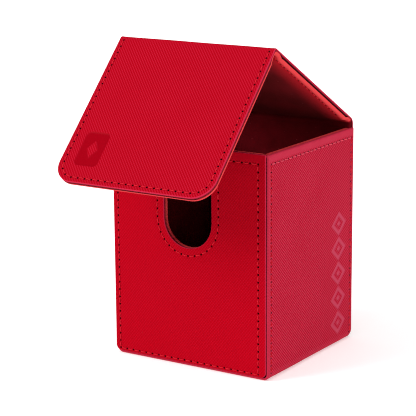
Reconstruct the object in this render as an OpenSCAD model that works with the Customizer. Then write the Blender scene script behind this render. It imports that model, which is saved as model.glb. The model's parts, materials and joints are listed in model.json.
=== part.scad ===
// Hinged deck box for sleeved trading cards.
// Millimetres. +X right, +Y back, +Z up; origin at the centre of the base's underside.
// Drawn half open, as it stands on a table.

/* [Case] */
// Outside width, over the side skins
box_w = 81; // [60:1:120]
// Outside depth, from the front skin's face to the back skin's face
box_d = 77; // [50:1:120]
// Height of the rim
box_h = 100; // [85:1:140]
// Outside radius of the bottom corners
corner_r = 3; // [2.5:0.5:6]

/* [Layers] */
// Thickness of the leatherette skin
skin_t = 1; // [0.6:0.1:1.6]
// Thickness of the stiffening board
board_t = 1; // [0.8:0.1:2]
// Thickness of the microfibre lining
lining_t = 1.4; // [0.6:0.1:2]
// How far the boards stop short of a visible edge
board_inset = 1; // [0.5:0.1:2]

/* [Front] */
// How far the front skin stops short of the right side's face
front_reveal = 1.4; // [0.5:0.1:3]
// How far the front and back skins stop short of the floor
foot_reveal = 1.2; // [0.5:0.1:3]
// Width of the thumb notch
notch_w = 25; // [16:1:40]
// Depth of the thumb notch below the rim
notch_depth = 45.7; // [20:0.1:60]

/* [Lid] */
// How far the lid and the flap stop short of each side's face
lid_reveal = 0.8; // [0.5:0.1:3]
// Gap between the shut lid and the rim
lid_gap = 0.3; // [0.3:0.05:1]
// Angle of the lid above shut, as drawn
lid_angle = 30.6; // [0:0.1:90]
// Bend radius of the back fold, inside its lining
back_bend_r = 1.6; // [0.4:0.2:2.4]

/* [Flap] */
// Length of the flap from the ridge to its free edge
flap_l = 76.5; // [60:0.5:84]
// Gap between the shut flap and the front
flap_gap = 0.45; // [0.4:0.05:1]
// Angle of the flap beyond square to the lid, as drawn
flap_angle = 13.3; // [0:0.1:80]
// Radius of the flap's free corners
flap_corner_r = 9.5; // [4:0.5:20]
// Bend radius of the ridge fold, inside its lining
ridge_bend_r = 0.2; // [0.2:0.2:2]

/* [Stitching] */
// Distance from one stitch to the next
stitch_pitch = 3.4; // [2.5:0.1:5]
// Length of thread that shows between two needle holes
stitch_l = 2.4; // [1.4:0.1:3]
// Width of the thread
thread_w = 0.7; // [0.4:0.1:1]
// How far the thread stands above the skin
thread_rise = 0.15; // [0.1:0.05:0.3]
// Distance of a row from the edge it follows
stitch_inset = 2.3; // [1.8:0.1:4]
// Distance of the front's and sides' top row below the rim
top_row_drop = 4.2; // [2:0.1:8]
// Distance of the notch's row from the notch
notch_row_inset = 3.5; // [2:0.1:6]

/* [Magnets] */
// Diameter of a closing magnet
magnet_d = 10; // [6:0.5:14]
// Distance of each magnet from the middle of the flap
magnet_x = 24; // [12:1:30]
// Height of the magnets above the shut flap's free edge
magnet_rise = 10.5; // [8:0.5:20]
// Radial clearance round a magnet, and above it
magnet_gap = 0.1; // [0.05:0.05:0.3]

/* [Hidden] */
$fn = 64;

panel_t = skin_t + board_t + lining_t;
min_corner_r = 0.2;
half_w = box_w / 2;
half_d = box_d / 2;
lid_w = box_w - 2 * lid_reveal;

// Depths below an outside face at which each layer starts
board_at = skin_t;
lining_at = skin_t + board_t;

// Front skin: flush with the left side, short of the right side
front_left = -half_w;
front_right = half_w - front_reveal;
front_mid = (front_left + front_right) / 2;
notch_r = notch_w / 2;
notch_z = box_h - notch_depth + notch_r;

// Hinge lines: both lie in the skin's outside face
back_line = [0, half_d, box_h + panel_t + lid_gap];
lid_l = box_d + panel_t + flap_gap;
ridge_line = back_line + lid_l * [0, -cos(lid_angle), sin(lid_angle)];
// Length on each side of a hinge line that has no board
fold_l = panel_t + 1.1;
fold_t = skin_t + lining_t;
fold_steps = 12;
// The back fold starts at the rim
back_arm = panel_t + lid_gap;
back_turn = 90 - lid_angle;
ridge_turn = 90 - flap_angle;

// Magnets: the same place on the shut flap and on the front
magnet_s = flap_l - magnet_rise;
magnet_z = back_line[2] - magnet_s;
magnet_t = board_t - magnet_gap;

skin_red = "#BF0A22";
lining_red = "#C8283C";
thread_red = "#D03A2A";
board_black = "#2A1E20";
magnet_steel = "#B4B6BA";

// A block given by its lowest and highest corners
module block(low, high) {
    translate(low) cube(high - low);
}

// Places a lid piece, drawn shut with the back hinge line as its X axis
module on_lid() {
    translate(back_line) rotate([-lid_angle, 0, 0]) children();
}

// Places a flap piece, drawn hanging straight down with the ridge line as its X axis
module on_flap() {
    translate(ridge_line) rotate([-lid_angle - flap_angle, 0, 0]) children();
}

// A sheet standing in X and Z, with its face at y and its thickness running towards +Y;
// its two lower corners are round
module sheet(left, right, bottom, top, r, y, t) {
    translate([0, y + t, 0]) rotate([90, 0, 0]) linear_extrude(t) {
        translate([left, bottom + r]) square([right - left, top - bottom - r]);
        translate([left + r, bottom]) square([right - left - 2 * r, r]);
        for (x = [left + r, right - r]) translate([x, bottom + r]) circle(r);
    }
}

// ---- Case ----

// One strip: down the left side, under the base and up the right side
module side_wrap_skin() {
    depth = box_d - 2 * skin_t;
    in_w = half_w - skin_t;
    color(skin_red) {
        for (side = [-1, 1]) {
            block([side > 0 ? in_w : -half_w, -depth / 2, corner_r],
                  [side > 0 ? half_w : -in_w, depth / 2, box_h]);
            translate([side * (half_w - corner_r), depth / 2, corner_r])
                rotate([90, 0, 0])
                    rotate([0, 0, side > 0 ? -90 : 180])
                        rotate_extrude(angle = 90)
                            translate([corner_r - skin_t, 0]) square([skin_t, depth]);
        }
        block([-half_w + corner_r, -depth / 2, 0], [half_w - corner_r, depth / 2, skin_t]);
    }
}

// The notch's outline, open at the rim, made wider all round by grow
module notch_cut(y, t, grow = 0) {
    translate([front_mid, y - 1, notch_z]) {
        rotate([-90, 0, 0]) cylinder(r = notch_r + grow, h = t + 2);
        translate([-notch_r - grow, 0, 0]) cube([notch_w + 2 * grow, t + 2, box_h]);
    }
}

module front_skin() {
    color(skin_red) difference() {
        sheet(front_left, front_right, foot_reveal, box_h, corner_r, -half_d, skin_t);
        notch_cut(-half_d, skin_t);
    }
}

module back_skin() {
    color(skin_red)
        sheet(-lid_w / 2, lid_w / 2, foot_reveal, box_h, corner_r, half_d - skin_t, skin_t);
}

// Front and back boards stand between the side boards, on the base board
module wall_board(y) {
    in_w = half_w - lining_at;
    r = max(corner_r - lining_at, min_corner_r);
    sheet(-in_w, in_w, lining_at, box_h - board_inset, r, y, board_t);
}

module front_board() {
    color(board_black) difference() {
        wall_board(-half_d + board_at);
        notch_cut(-half_d + board_at, board_t, board_inset);
        for (side = [-1, 1])
            translate([side * magnet_x, -half_d, magnet_z])
                rotate([-90, 0, 0]) cylinder(d = magnet_d + 2 * magnet_gap, h = panel_t);
    }
}

module back_board() {
    color(board_black) wall_board(half_d - lining_at);
}

// Side boards start above the wrap's rounded corners
module side_board(side) {
    outer = side * (half_w - board_at);
    inner = side * (half_w - lining_at);
    color(board_black)
        block([min(inner, outer), -half_d + board_at, corner_r],
              [max(inner, outer), half_d - board_at, box_h - board_inset]);
}
module left_board() { side_board(-1); }
module right_board() { side_board(1); }

module base_board() {
    in_w = half_w - max(corner_r, lining_at);
    color(board_black)
        block([-in_w, -half_d + board_at, board_at], [in_w, half_d - board_at, lining_at]);
}

// The linings butt: the sides stand between the front and back boards,
// the front and back linings stand between the sides, and all stand on the base lining
module front_lining() {
    in_w = half_w - panel_t;
    color(lining_red) difference() {
        block([-in_w, -half_d + lining_at, panel_t], [in_w, -half_d + panel_t, box_h]);
        notch_cut(-half_d + lining_at, lining_t);
    }
}

module back_lining() {
    in_w = half_w - panel_t;
    color(lining_red)
        block([-in_w, half_d - panel_t, panel_t], [in_w, half_d - lining_at, box_h]);
}

module side_lining(side) {
    outer = side * (half_w - lining_at);
    inner = side * (half_w - panel_t);
    color(lining_red)
        block([min(inner, outer), -half_d + lining_at, panel_t],
              [max(inner, outer), half_d - lining_at, box_h]);
}
module left_lining() { side_lining(-1); }
module right_lining() { side_lining(1); }

module base_lining() {
    // How far the wrap's bend reaches in at the lining's underside
    bend_in = corner_r - sqrt(max(0, pow(corner_r - skin_t, 2) - pow(corner_r - lining_at, 2)));
    in_w = half_w - max(bend_in, lining_at);
    color(lining_red)
        block([-in_w, -half_d + lining_at, lining_at], [in_w, half_d - lining_at, panel_t]);
}

// Two discs, one on each side, facing along Y
module magnet_pair(y, z) {
    color(magnet_steel)
        for (side = [-1, 1])
            translate([side * magnet_x, y, z])
                rotate([-90, 0, 0]) cylinder(d = magnet_d, h = magnet_t);
}
module front_magnets() { magnet_pair(-half_d + board_at, magnet_z); }

// ---- Stitching ----

// One stitch, lying along X on the face z = 0
module stitch() {
    translate([-stitch_l / 2, -thread_w / 2, 0]) cube([stitch_l, thread_w, thread_rise]);
}

// A straight row on the face z = 0, from one point to another
module stitch_row(from, to) {
    run = norm(to - from);
    count = max(1, floor(run / stitch_pitch));
    translate([from[0], from[1], 0])
        rotate([0, 0, atan2(to[1] - from[1], to[0] - from[0])])
            for (i = [0 : count - 1])
                translate([(i + 0.5) * run / count, 0, 0]) stitch();
}

// A row round an arc on the face z = 0
module stitch_arc(r, from_angle, to_angle) {
    run = r * PI * abs(to_angle - from_angle) / 180;
    count = max(1, floor(run / stitch_pitch));
    for (i = [0 : count - 1]) {
        angle = from_angle + (i + 0.5) * (to_angle - from_angle) / count;
        rotate([0, 0, angle]) translate([r, 0, 0]) rotate([0, 0, 90]) stitch();
    }
}

// The front face is turned so that its X stays X and its Y is height
module on_front() { translate([0, -half_d, 0]) rotate([90, 0, 0]) children(); }
module on_back() { translate([0, half_d, 0]) rotate([90, 0, 180]) children(); }
module on_right() { translate([half_w, 0, 0]) rotate([90, 0, 90]) children(); }
module on_left() { translate([-half_w, 0, 0]) rotate([90, 0, -90]) children(); }

module front_stitching() {
    left = front_left + stitch_inset;
    right = front_right - front_reveal - stitch_inset;
    foot = foot_reveal + stitch_inset / 2;
    top = box_h - top_row_drop;
    row_r = notch_r + notch_row_inset;
    color(thread_red) on_front() {
        stitch_row([left, foot], [left, top]);
        stitch_row([right, foot], [right, top]);
        stitch_row([left, foot], [right, foot]);
        stitch_row([left, top], [front_mid - row_r, top]);
        stitch_row([front_mid + row_r, top], [right, top]);
        for (side = [-1, 1])
            stitch_row([front_mid + side * row_r, notch_z], [front_mid + side * row_r, top]);
        translate([front_mid, notch_z, 0]) stitch_arc(row_r, 180, 360);
    }
}

// Rows on a side: up both edges and along the top, none at the bottom bend
module side_stitching() {
    edge = half_d - skin_t - stitch_inset;
    top = box_h - top_row_drop;
    for (side = [-1, 1])
        stitch_row([side * edge, corner_r], [side * edge, top]);
    stitch_row([-edge, top], [edge, top]);
}
module left_stitching() { color(thread_red) on_left() side_stitching(); }
module right_stitching() { color(thread_red) on_right() side_stitching(); }

module back_stitching() {
    edge = lid_w / 2 - stitch_inset;
    foot = foot_reveal + stitch_inset / 2;
    color(thread_red) on_back() {
        for (side = [-1, 1])
            stitch_row([side * edge, foot], [side * edge, box_h - fold_l]);
        stitch_row([-edge, foot], [edge, foot]);
    }
}

// ---- Lid: drawn shut, running from the back hinge line towards -Y ----

// A lid layer between two depths, stopping short of each side by inset
module lid_layer(from, to, inset) {
    block([-lid_w / 2 + inset, -lid_l + fold_l, -to], [lid_w / 2 - inset, -fold_l, -from]);
}
module lid_skin() { color(skin_red) on_lid() lid_layer(0, board_at, 0); }
module lid_board() { color(board_black) on_lid() lid_layer(board_at, lining_at, board_inset); }
module lid_lining() { color(lining_red) on_lid() lid_layer(lining_at, panel_t, 0); }

module lid_stitching() {
    edge = lid_w / 2 - stitch_inset;
    color(thread_red) on_lid()
        for (side = [-1, 1])
            stitch_row([side * edge, -fold_l], [side * edge, -lid_l + fold_l]);
}

// ---- Flap: drawn hanging down from the ridge line, its outside face at y = 0 ----

// A flap layer between two depths, stopping short of its free edges by inset
module flap_layer(from, to, inset) {
    half = lid_w / 2 - inset;
    sheet(-half, half, -flap_l + inset, -fold_l, flap_corner_r - inset, from, to - from);
}
module flap_skin() { color(skin_red) on_flap() flap_layer(0, board_at, 0); }

module flap_board() {
    color(board_black) on_flap() difference() {
        flap_layer(board_at, lining_at, board_inset);
        for (side = [-1, 1])
            translate([side * magnet_x, 0, -magnet_s])
                rotate([-90, 0, 0]) cylinder(d = magnet_d + 2 * magnet_gap, h = panel_t);
    }
}
module flap_lining() { color(lining_red) on_flap() flap_layer(lining_at, panel_t, 0); }
module flap_magnets() { on_flap() magnet_pair(board_at, -magnet_s); }

module flap_stitching() {
    edge = lid_w / 2 - stitch_inset;
    row_r = flap_corner_r - stitch_inset;
    turn_x = edge - row_r;
    turn_z = -flap_l + flap_corner_r;
    end = -flap_l + stitch_inset;
    color(thread_red) on_flap() rotate([90, 0, 0]) {
        for (side = [-1, 1]) {
            stitch_row([side * edge, -fold_l], [side * edge, turn_z]);
            translate([side * turn_x, turn_z, 0])
                stitch_arc(row_r, side > 0 ? -90 : 180, side > 0 ? 0 : 270);
        }
        stitch_row([-turn_x, end], [turn_x, end]);
    }
}

// ---- Folds: strips with no board, bent round a hinge line ----

// The edge of a bent strip at a depth below its outside face, as points in Y and Z.
// Its first arm comes up (+Z) to the corner of the outside faces, and its second arm
// leaves turned over towards -Y.
function fold_edge(turn, r, arm, depth) = concat(
    [[-depth, -arm]],
    [for (i = [0 : fold_steps]) let(a = i * turn / fold_steps)
        [-r, -r * tan(turn / 2)] + (r - depth) * [cos(a), sin(a)]],
    [fold_l * [-sin(turn), cos(turn)] - depth * [cos(turn), sin(turn)]]
);

// A bent strip between two depths
module fold_strip(turn, bend_r, arm, from, to) {
    r = bend_r + fold_t;
    outer = fold_edge(turn, r, arm, from);
    inner = fold_edge(turn, r, arm, to);
    last = len(inner) - 1;
    translate([-lid_w / 2, 0, 0]) rotate([90, 0, 90]) linear_extrude(lid_w)
        polygon(concat(outer, [for (i = [0 : last]) inner[last - i]]));
}

module back_fold_layer(from, to) {
    translate(back_line) fold_strip(back_turn, back_bend_r, back_arm, from, to);
}
module back_hinge_skin() { color(skin_red) back_fold_layer(0, skin_t); }
module back_hinge_lining() { color(lining_red) back_fold_layer(skin_t, fold_t); }

// The ridge turns from the lid's run to the flap's
module ridge_fold_layer(from, to) {
    translate(ridge_line) rotate([90 - lid_angle, 0, 0])
        fold_strip(ridge_turn, ridge_bend_r, fold_l, from, to);
}
module ridge_hinge_skin() { color(skin_red) ridge_fold_layer(0, skin_t); }
module ridge_hinge_lining() { color(lining_red) ridge_fold_layer(skin_t, fold_t); }

side_wrap_skin();
front_skin();
back_skin();
front_board();
back_board();
left_board();
right_board();
base_board();
front_lining();
back_lining();
left_lining();
right_lining();
base_lining();
front_magnets();
front_stitching();
left_stitching();
right_stitching();
back_stitching();
lid_skin();
lid_board();
lid_lining();
lid_stitching();
flap_skin();
flap_board();
flap_lining();
flap_stitching();
flap_magnets();
back_hinge_skin();
back_hinge_lining();
ridge_hinge_skin();
ridge_hinge_lining();
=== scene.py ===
import json
import bpy
import bmesh
import numpy as np
from math import cos, pi, radians, sin
from mathutils import Matrix, Vector


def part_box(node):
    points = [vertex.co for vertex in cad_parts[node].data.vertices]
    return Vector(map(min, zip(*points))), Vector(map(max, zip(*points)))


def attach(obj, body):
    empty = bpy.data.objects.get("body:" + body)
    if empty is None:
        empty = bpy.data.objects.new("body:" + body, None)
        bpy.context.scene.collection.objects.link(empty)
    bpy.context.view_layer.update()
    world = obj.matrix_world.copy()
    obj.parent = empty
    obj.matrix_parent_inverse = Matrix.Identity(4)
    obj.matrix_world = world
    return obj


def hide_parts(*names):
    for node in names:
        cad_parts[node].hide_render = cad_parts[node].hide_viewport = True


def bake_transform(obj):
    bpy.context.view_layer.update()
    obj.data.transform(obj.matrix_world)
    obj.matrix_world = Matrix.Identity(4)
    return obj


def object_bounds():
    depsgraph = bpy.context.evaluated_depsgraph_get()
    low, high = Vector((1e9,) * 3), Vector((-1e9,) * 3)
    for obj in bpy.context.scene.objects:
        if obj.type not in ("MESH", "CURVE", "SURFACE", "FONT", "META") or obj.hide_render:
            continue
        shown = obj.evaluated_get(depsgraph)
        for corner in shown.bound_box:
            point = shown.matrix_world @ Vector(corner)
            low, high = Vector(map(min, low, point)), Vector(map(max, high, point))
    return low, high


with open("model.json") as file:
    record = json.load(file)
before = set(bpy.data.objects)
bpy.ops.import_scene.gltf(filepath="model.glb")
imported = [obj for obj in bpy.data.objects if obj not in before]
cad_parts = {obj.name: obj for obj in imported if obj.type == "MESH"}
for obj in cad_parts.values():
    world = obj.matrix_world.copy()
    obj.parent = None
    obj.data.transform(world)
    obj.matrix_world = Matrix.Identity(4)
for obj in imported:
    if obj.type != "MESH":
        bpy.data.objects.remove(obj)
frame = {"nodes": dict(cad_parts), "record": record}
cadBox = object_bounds()
print("stage: frame loaded")

mm = 0.001  # in metres
farAway = 999.0  # mm, farther off than anything here

cameraSettings = {
    "azimuth": 33.07, "elevation": 13.22, "rolledLightBand": -0.45,  # degrees
    "distance": 775.9, "across": -13.0, "up": 63.15,  # mm, measured in the view
    "lens": 144.3, "sensor": 36.0,  # mm
}


def wayTo(azimuth, elevation):
    # the unit vector towards a camera or a light: azimuth turns from the front to the right,
    # elevation rises from level, both in degrees
    a, e = radians(azimuth), radians(elevation)
    return Vector((sin(a) * cos(e), -cos(a) * cos(e), sin(e)))


def addCamera(s):
    # the view's axes are back towards the camera, and right and up across the picture, turned by the
    # roll; the camera stands at their sum, each times its own distance
    a, r = radians(s["azimuth"]), radians(s["rolledLightBand"])
    back = wayTo(s["azimuth"], s["elevation"])
    level = Vector((cos(a), sin(a), 0))
    upright = back.cross(level)
    right = level * cos(r) + upright * sin(r)
    up = upright * cos(r) - level * sin(r)
    data = bpy.data.cameras.new("camera")
    data.lens, data.sensor_width = s["lens"], s["sensor"]
    camera = bpy.data.objects.new("camera", data)
    bpy.context.collection.objects.link(camera)
    place = (right * s["across"] + up * s["up"] + back * s["distance"]) * mm
    camera.matrix_world = Matrix.Translation(place) @ Matrix((right, up, back)).transposed().to_4x4()
    bpy.context.scene.camera = camera


addCamera(cameraSettings)


def boxOf(nodeName):
    # a node's lowest and highest corners: the frame's metres times a thousand, in mm
    low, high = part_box(nodeName)
    return np.array(low) * 1000, np.array(high) * 1000


# what the frame says of the folds: Y and Z of each fold's corner line in mm, and the panels' angles
jointOf = {j["name"]: j for j in frame["record"]["behaviour"]["joints"]}
backLine = np.array(jointOf["lid_hinge"]["pos_m"][1:]) * 1000
ridgeLine = np.array(jointOf["flap_hinge"]["pos_m"][1:]) * 1000
lidAngle = -radians(jointOf["lid_hinge"]["range_deg"][0])  # shut is the joint's low end
flapAngle = lidAngle - radians(jointOf["flap_hinge"]["range_deg"][0])  # from hanging straight down
lidWay = np.array([-cos(lidAngle), sin(lidAngle)])
flapWay = np.array([-sin(flapAngle), -cos(flapAngle)])

wrapHigh = boxOf("side_wrap_skin")[1]
frontLow, frontHigh = boxOf("front_skin")
backHigh = boxOf("back_skin")[1]
liningLow, liningHigh = boxOf("front_lining")
flapLow = boxOf("flap_skin")[0]

half, rim, footZ, frontY, backY, lidHalf = (
    wrapHigh[0], wrapHigh[2], frontLow[2], frontLow[1], backHigh[1], backHigh[0])
skinThick, liningThick = frontHigh[1] - frontLow[1], liningHigh[1] - liningLow[1]
panel = liningHigh[1] - frontLow[1]  # skin, board and lining together
lidLength = float(np.hypot(*(ridgeLine - backLine)))
flapLength = (ridgeLine[0] - flapLow[1]) / sin(flapAngle)

sizes = {  # mm
    "cornerBend": 3.0, "notchRadius": 12.5, "notchDepth": 45.7, "flapCorner": 9.5,
    "seam": 12.0,  # where the back's sheets and the lid's meet, from the back fold
    "lip": 0.15, "liningLip": 0.1,  # how far a turned edge closes the gap that the board leaves
    "lipWide": 0.8,
}
free = 4.5  # mm, no board this near a fold's line


def onLid(distance, depth):
    # a point in Y and Z: the back fold, plus the lid's way times the distance, less the depth below
    # its outside times that way turned a quarter
    return backLine + lidWay * distance - depth * np.array([lidWay[1], -lidWay[0]])


def onFlap(distance, depth):
    # the same for the flap, from the ridge fold
    return ridgeLine + flapWay * distance - depth * np.array([flapWay[1], -flapWay[0]])


def foldedPath(corners, bends, start=0.0):
    # straight runs between corners in a plane, each inner corner rounded to an arc of its own radius;
    # an arc takes up radius times the tangent of half the turn on both its runs, and the distance
    # along the path is measured on the unrounded corners
    corner = np.array(corners, float)
    run = np.diff(corner, axis=0)
    length = np.hypot(run[:, 0], run[:, 1])
    way = run / length[:, None]
    before, after = way[:-1], way[1:]
    turn = np.arctan2(before[:, 0] * after[:, 1] - before[:, 1] * after[:, 0], (before * after).sum(axis=1))
    bend = np.array(bends, float)
    return {"corner": corner, "way": way, "at": start + np.concatenate([[0], np.cumsum(length)]),
            "turn": turn, "bend": bend, "reach": bend * np.tan(np.abs(turn) / 2)}


def along(path, s):
    # the point and the heading at each distance: on a run the corner plus the way times the distance,
    # in an arc its centre plus the radius turned by the share of the arc that is behind
    s = np.asarray(s, float)
    leg = np.clip(np.searchsorted(path["at"], s, side="right") - 1, 0, len(path["way"]) - 1)
    way = path["way"][leg]
    point = path["corner"][leg] + way * (s - path["at"][leg])[..., None]
    heading = np.arctan2(way[..., 1], way[..., 0])
    for k, turn in enumerate(path["turn"]):
        reach, bend, hand = path["reach"][k], path["bend"][k], np.sign(turn)
        if reach == 0:
            continue
        part = (s - path["at"][k + 1] + reach) / (2 * reach)
        start = np.arctan2(path["way"][k, 1], path["way"][k, 0])
        inward = hand * bend * np.array([-sin(start), cos(start)])
        centre = path["corner"][k + 1] - path["way"][k] * reach + inward
        angle = start + turn * part
        onArc = centre + hand * bend * np.stack([np.sin(angle), -np.cos(angle)], axis=-1)
        inside = (part > 0) & (part < 1)
        point[inside] = onArc[inside]
        heading[inside] = angle[inside]
    return point, heading


gridSettings = {
    "edgeRows": 5,  # rows in an edge's quarter circle
    "bendTurn": 6,  # degrees from row to row in a bend
    "coarse": 3.0, "closest": 0.02,  # mm from row to row, where nobody sees them and at the least
    "decimals": 4,
}


def stations(low, high, step, roundLow=0.0, roundHigh=0.0, path=None, coarse=None):
    # distances from low to high a step apart, closer where an edge is rounded and where a path bends,
    # and farther apart in a stretch that nobody sees
    g = gridSettings
    dip = 1 - np.cos(np.linspace(0, pi / 2, g["edgeRows"]))
    plain = np.linspace(low + roundLow, high - roundHigh, max(2, int((high - low) / step)))
    if coarse is not None:
        seen = plain[(plain < coarse[0]) | (plain > coarse[1])]
        plain = np.concatenate([seen, np.arange(coarse[0], coarse[1], g["coarse"])])
    parts = [plain, [low, high]]
    if roundLow > 0:
        parts.append(low + roundLow * dip)
    if roundHigh > 0:
        parts.append(high - roundHigh * dip)
    if path is not None:
        for at, reach, turn in zip(path["at"][1:-1], path["reach"], path["turn"]):
            parts.append(np.linspace(at - reach, at + reach, 3 + int(abs(turn) / radians(g["bendTurn"]))))
    s = np.unique(np.round(np.clip(np.concatenate(parts), low, high), g["decimals"]))
    keep = np.concatenate([[True], np.diff(s) > g["closest"]])
    keep[-1] = True
    return s[keep]


def makeMesh(name, vertices, faces, uv, attributes=None, sharp=50):
    # a closed mesh, in metres, its faces turned outwards by the sign of its volume
    mesh = bpy.data.meshes.new(name)
    mesh.from_pydata((np.asarray(vertices) * mm).tolist(), [], faces)
    order = np.empty(len(mesh.loops), np.int32)
    mesh.loops.foreach_get("vertex_index", order)
    layer = mesh.uv_layers.new(name="UVMap")
    layer.data.foreach_set("uv", np.asarray(uv, np.float32)[order].ravel())
    for key, values in (attributes or {}).items():
        attribute = mesh.attributes.new(key, "FLOAT", "POINT")
        attribute.data.foreach_set("value", np.asarray(values, np.float32).ravel())
    solid = bmesh.new()
    solid.from_mesh(mesh)
    if solid.calc_volume(signed=True) < 0:
        bmesh.ops.reverse_faces(solid, faces=solid.faces)
        solid.to_mesh(mesh)
    solid.free()
    mesh.polygons.foreach_set("use_smooth", np.ones(len(mesh.polygons), bool))
    mesh.set_sharp_from_angle(angle=radians(sharp))
    piece = bpy.data.objects.new(name, mesh)
    bpy.context.collection.objects.link(piece)
    return piece


def sheetMesh(name, top, under, uv, attributes, wallShade):
    # a fine grid for the face that shows, a few long strips for the hidden side, walls along both
    # sides and one cap at each end; the under points run across from the grid's first column to its
    # last, and the walls get painted shade towards their foot by wallShade
    rows, columns = top.shape[:2]
    strips = under.shape[1]
    grid = np.arange(rows * columns).reshape(rows, columns)
    hidden = rows * columns + np.arange(rows * strips).reshape(rows, strips)
    ring = np.concatenate([grid, hidden[:, ::-1], grid[:, :1]], axis=1)
    quads = np.stack([ring[:-1, :-1], ring[1:, :-1], ring[1:, 1:], ring[:-1, 1:]], axis=-1)
    faces = quads.reshape(-1, 4).tolist() + [ring[0, :-1].tolist(), ring[-1, :-1][::-1].tolist()]
    vertices = np.concatenate([top.reshape(-1, 3), under.reshape(-1, 3)])
    nearest = np.where(np.arange(strips) < strips / 2, 0, columns - 1)
    uvAll = np.concatenate([uv.reshape(-1, 2), uv[:, nearest].reshape(-1, 2)])
    values = {k: np.concatenate([v.reshape(-1), v[:, nearest].reshape(-1)]) for k, v in attributes.items()}
    values["shade"] = np.concatenate([np.zeros(rows * columns), np.full(rows * strips, wallShade)])
    return makeMesh(name, vertices, faces, uvAll, values)


# stitch rows are lines of points in a sheet's own two measures
stitching = {  # mm
    "pitch": 3.4, "inset": 2.3, "topRowDrop": 4.2, "notchRow": 3.5,
    "foldGap": 2.2, "sideShift": 0.3,  # how near a fold the rows come, and the side rows' way outwards
    "thread": 0.25, "shows": 0.7,  # the bar's half thickness, and the share of the pitch that it spans
    "crown": 0.06, "dive": 0.5,  # the bar's height over the sheet, and how deep its ends go
    "rings": 7, "sides": 6,
}
inset = stitching["inset"]


def straightRow(start, end):
    # the two ends of a line
    return np.array([start, end], float)


def roundRow(centre, radius, fromAngle, toAngle):
    # points on an arc: the centre plus the radius times the angle's cosine and sine
    a = np.radians(np.linspace(fromAngle, toAngle, 25))
    return np.stack([centre[0] + radius * np.cos(a), centre[1] + radius * np.sin(a)], axis=-1)


def needleHoles(row):
    # evenly spaced holes from one end of the row to the other
    reach = np.concatenate([[0], np.cumsum(np.hypot(*np.diff(row, axis=0).T))])
    at = np.linspace(0, reach[-1], max(1, int(reach[-1] / stitching["pitch"])) + 1)
    return np.stack([np.interp(at, reach, row[:, 0]), np.interp(at, reach, row[:, 1])], axis=-1)


def rowDistance(u, v, rows):
    # distance from each point to the nearest stretch of any row
    nearest = np.full(u.shape, farAway)
    for row in rows:
        for a, b in zip(row[:-1], row[1:]):
            d = b - a
            t = np.clip(((u - a[0]) * d[0] + (v - a[1]) * d[1]) / (d @ d), 0, 1)
            nearest = np.minimum(nearest, np.hypot(u - a[0] - t * d[0], v - a[1] - t * d[1]))
    return nearest


def holeDistance(u, v, rows):
    # distance from each point to the nearest needle hole of any row
    nearest = np.full(u.shape, farAway)
    for row in rows:
        for hole in needleHoles(row):
            nearest = np.minimum(nearest, np.hypot(u - hole[0], v - hole[1]))
    return nearest


def smoothStep(x, low, high):
    # 0 up to low and 1 from high, by three t squared less two t cubed between them
    t = np.clip((x - low) / (high - low), 0, 1)
    return t * t * (3 - 2 * t)


reliefSettings = {  # mm
    "grooveHalf": 0.8, "dimpleHalf": 0.4,
    "waveAcross": (6.1, 0.7), "waveAlong": (8.3, 0.4),  # the sway's length for each radian, and its start
    "calmEdge": 3,  # how near an edge the sway dies down
    "bare": (0.5, 0.9),  # where the embossing comes back, from a hole's middle
    "ease": 0.7,  # how gently it is rolled flat
    "holeReach": 3, "edgeReach": 20.0,  # the most that the needle and edge values say
}


def pressedHeight(u, v, edge, rows, o):
    # a sheet's relief: an edge that falls as a quarter circle, the groove its thread pulls down,
    # a dimple at each hole, and the slight sway of a hand-laid sheet, two sines multiplied
    r = reliefSettings
    row, hole = rowDistance(u, v, rows), holeDistance(u, v, rows)
    near = np.clip(o["round"] - edge, 0, o["round"])
    relief = np.sqrt(o["round"] ** 2 - near ** 2) - o["round"]
    groove = o["groove"] * np.exp(-(row / r["grooveHalf"]) ** 2)
    relief -= groove + o["hole"] * np.exp(-(hole / r["dimpleHalf"]) ** 4)
    waves = [np.sin(w / r[key][0] + r[key][1]) for w, key in ((u, "waveAcross"), (v, "waveAlong"))]
    rise = 1 if o["swayRise"] is None else smoothStep(v, *o["swayRise"])
    relief += o["sway"] * (waves[0] * waves[1] - 1) * smoothStep(edge, 0, r["calmEdge"]) * rise
    return relief, hole


def pointValues(emboss, hole, shown, pressed):
    # what the finishes read at each point: the embossing left, mm to a needle hole and to an edge that
    # gets painted light, and 1 where a stamp has pressed
    r = reliefSettings
    return {"emboss": emboss, "needle": np.clip(hole, 0, r["holeReach"]),
            "edge": np.clip(shown, 0, r["edgeReach"]), "pressed": pressed}


def rgb(code):
    # an sRGB hex colour as linear values
    c = np.array([int(code[i:i + 2], 16) for i in (1, 3, 5)]) / 255
    return (*np.where(c <= 0.04045, c / 12.92, ((c + 0.055) / 1.055) ** 2.4).tolist(), 1.0)


def newMaterial(name):
    # a material with its node tree and its shader
    material = bpy.data.materials.new(name)
    material.use_nodes = True
    return material, material.node_tree, material.node_tree.nodes["Principled BSDF"]


def setInputs(tree, made, inputs):
    # each input takes a socket to link, a hex colour or a plain value
    for key, value in inputs.items():
        if isinstance(value, bpy.types.NodeSocket):
            tree.links.new(value, made.inputs[key])
        else:
            made.inputs[key].default_value = rgb(value) if isinstance(value, str) else value


def node(tree, kind, inputs=None, give=0, **settings):
    # adds a shader node with its settings and its inputs, and gives one of its outputs
    made = tree.nodes.new("ShaderNode" + kind)
    for key, value in settings.items():
        setattr(made, key, value)
    setInputs(tree, made, inputs or {})
    return made.outputs[give]
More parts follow.
